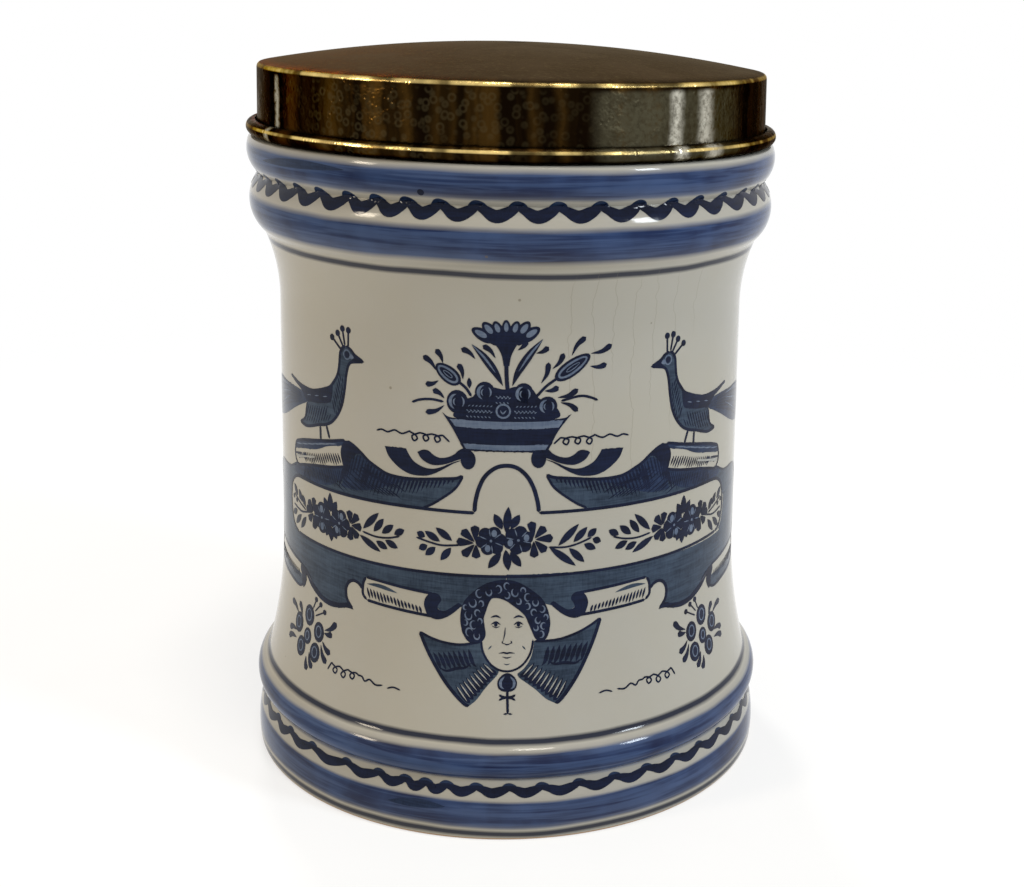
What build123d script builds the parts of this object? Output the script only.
from build123d import *
import os
from math import asin, degrees

os.makedirs("parts", exist_ok=True)

# Every size is in millimetres. The origin is the middle of the face that the jar stands on.

# Jar, heights of its stretches from the table up
foot_roll_height = 12.9
foot_bead_height = 7.4
body_height = 96.3
foot_flare_height = 29.6
rim_flare_height = 14.7
rim_roll_height = 11.8
rim_bead_height = 7.6
neck_height = 11.5

# Jar, its widest radius at the rim, and how far the other faces stand in or out from there
rim_radius = 56.0
rim_roll_draw = 0.2
rim_flare_step = 2.85
waist_draw = 5.85
waist_taper = 0.8
foot_spread = 1.7
foot_flare_step = 2.5
neck_step = 5.5

# Jar, where along their height its rolls and beads are fullest
foot_roll_belly = 0.42
foot_bead_belly = 0.5
rim_roll_belly = 0.47
rim_bead_belly = 0.55

# Jar, how deep its rolls draw in at their ends and how far its corners are rounded
foot_edge_draw = 0.1
foot_edge_round = 0.9
foot_crease_depth = 1.8
rim_crease_depth = 2.2
shoulder_draw = 0.5
shoulder_round = 0.9
flare_round = 3.0
lip_round = 1.9

# Jar, thickness of the pottery
body_wall = 5.2
neck_wall = 4.2
floor_thickness = 5.3
floor_corner_round = 9.0
foot_ring_width = 6.5
foot_recess_depth = 3.0

# Cap, spun from sheet brass with its lower edge rolled outwards
cap_sheet = 0.7
cap_seat_gap = 0.3
cap_headroom = 3.1
cap_dome_rise = 4.9
cap_edge_round = 1.1
cap_taper = 0.3
roll_radius = 1.5
roll_slit = 0.15
knob_hole_radius = 2.4

# Liner, a cork ring glued inside the cap
liner_clearance = 0.3
liner_glue = 0.1
liner_height = 8.0
liner_top_gap = 0.6
liner_chamfer = 0.4

# Levels that follow from the heights
floor_z = foot_recess_depth + floor_thickness
foot_crease_z = foot_roll_height
body_low_z = foot_crease_z + foot_bead_height
body_high_z = body_low_z + body_height
rim_crease_z = body_high_z + rim_roll_height
shoulder_z = rim_crease_z + rim_bead_height
lip_z = shoulder_z + neck_height

# Radii that follow from the rim's
rim_roll_radius = rim_radius - rim_roll_draw
waist_radius = rim_radius - waist_draw
foot_radius = rim_radius + foot_spread
neck_radius = rim_radius - neck_step
neck_bore_radius = neck_radius - neck_wall
foot_ring_radius = foot_radius - foot_ring_width

# Corners of the jar's outside, as radius and height
recess_corner = (foot_ring_radius, foot_recess_depth)
foot_edge = (foot_radius - foot_edge_draw, 0)
foot_crease = (foot_radius - foot_crease_depth, foot_crease_z)
body_low = (foot_radius - foot_flare_step, body_low_z)
waist_low = (waist_radius + waist_taper, body_low_z + foot_flare_height)
waist_high = (waist_radius, body_high_z - rim_flare_height)
body_high = (rim_roll_radius - rim_flare_step, body_high_z)
rim_crease = (rim_radius - rim_crease_depth, rim_crease_z)
shoulder_edge = (rim_radius - shoulder_draw, shoulder_z)
lip_outside = (neck_radius, lip_z)

# Corners of its hollow, from the lip down
lip_inside = (neck_bore_radius, lip_z)
hollow_neck = (neck_bore_radius, shoulder_z)
hollow_high = (waist_high[0] - body_wall, waist_high[1])
hollow_low = (waist_low[0] - body_wall, waist_low[1])
hollow_foot = (body_low[0] - body_wall, body_low_z)
hollow_corner = (hollow_foot[0], floor_z)

# Jar body: one pot, its whole section turned about its axis
with BuildPart() as jar_body:
    with BuildSketch(Plane.XZ) as jar_section:
        with BuildLine():
            foot_roll_middle = (foot_radius, foot_roll_belly * foot_roll_height)
            foot_bead_middle = (foot_radius, foot_crease_z + foot_bead_belly * foot_bead_height)
            rim_roll_middle = (rim_roll_radius, body_high_z + rim_roll_belly * rim_roll_height)
            rim_bead_middle = (rim_radius, rim_crease_z + rim_bead_belly * rim_bead_height)
            Polyline((0, foot_recess_depth), recess_corner, (foot_ring_radius, 0), foot_edge)
            ThreePointArc(foot_edge, foot_roll_middle, foot_crease)
            ThreePointArc(foot_crease, foot_bead_middle, body_low)
            waist = Line(waist_low, waist_high)
            TangentArc(waist_low, body_low, tangent=-(waist % 0))
            TangentArc(waist_high, body_high, tangent=waist % 1)
            ThreePointArc(body_high, rim_roll_middle, rim_crease)
            ThreePointArc(rim_crease, rim_bead_middle, shoulder_edge)
            Polyline(shoulder_edge, (neck_radius, shoulder_z), lip_outside, lip_inside, hollow_neck)
            Polyline(hollow_neck, hollow_high, hollow_low, hollow_foot, hollow_corner, (0, floor_z))
            Line((0, floor_z), (0, foot_recess_depth))
        make_face()
        # Each corner that is rounded, with its round
        for corner, corner_round in [
            (foot_edge, foot_edge_round),
            (body_low, flare_round),
            (body_high, flare_round),
            (shoulder_edge, shoulder_round),
            (lip_outside, lip_round),
            (lip_inside, lip_round),
            (hollow_corner, floor_corner_round),
        ]:
            fillet(jar_section.vertices().sort_by_distance(corner)[0], corner_round)
    revolve(axis=Axis.Z)
jar_body.part.label = "jar_body"
export_step(jar_body.part, "parts/jar_body.step")

# The cap's middle line, half a sheet inside its outer face
half_sheet = cap_sheet / 2
roll_line_radius = roll_radius - half_sheet
roll_centre_radius = rim_radius - roll_radius
roll_centre_z = shoulder_z + cap_seat_gap + roll_radius
skirt_foot = (roll_centre_radius - roll_line_radius, roll_centre_z)
skirt_top = (skirt_foot[0] - cap_taper, lip_z + cap_headroom - half_sheet)
dome_middle = (0, skirt_top[1] + cap_dome_rise)
dome_radius = (skirt_top[0] ** 2 + cap_dome_rise ** 2) / (2 * cap_dome_rise)
roll_sweep = 270 + degrees(asin(1 - (roll_slit + cap_sheet) / roll_line_radius))

# Lid cap: one sheet with a low dome, a tight edge, a skirt and the outward roll
with BuildPart() as lid_cap:
    with BuildSketch(Plane.XZ):
        with BuildLine() as cap_line:
            RadiusArc(dome_middle, skirt_top, dome_radius)
            skirt = Line(skirt_top, skirt_foot)
            fillet(cap_line.vertices().sort_by_distance(skirt_top)[0], cap_edge_round - half_sheet)
            JernArc(skirt_foot, skirt % 1, roll_line_radius, roll_sweep)
            offset(amount=half_sheet, side=Side.BOTH)
        make_face()
        split(bisect_by=Plane.YZ)
    revolve(axis=Axis.Z)
    with Locations((0, 0, dome_middle[1])):
        Hole(knob_hole_radius, cap_sheet)
lid_cap.part.label = "lid_cap"
export_step(lid_cap.part, "parts/lid_cap.step")


def skirt_inside(z):
    """Radius of the skirt's inner face at a height."""
    share = (z - skirt_foot[1]) / (skirt_top[1] - skirt_foot[1])
    return skirt_foot[0] - half_sheet - cap_taper * share


# Lid liner: a ring of cork that grips the neck and keeps the brass off the pottery
liner_radius = neck_radius + liner_clearance
liner_high_z = skirt_top[1] - half_sheet - cap_edge_round - liner_top_gap
liner_low_z = liner_high_z - liner_height
with BuildPart() as lid_liner:
    with BuildSketch(Plane.XZ) as liner_section:
        with BuildLine():
            Polyline(
                (liner_radius, liner_low_z),
                (skirt_inside(liner_low_z) - liner_glue, liner_low_z),
                (skirt_inside(liner_high_z) - liner_glue, liner_high_z),
                (liner_radius, liner_high_z),
                close=True,
            )
        make_face()
        inner_corners = liner_section.vertices().group_by(Axis.X)[0]
        chamfer(inner_corners, liner_chamfer)
    revolve(axis=Axis.Z)
lid_liner.part.label = "lid_liner"
export_step(lid_liner.part, "parts/lid_liner.step")
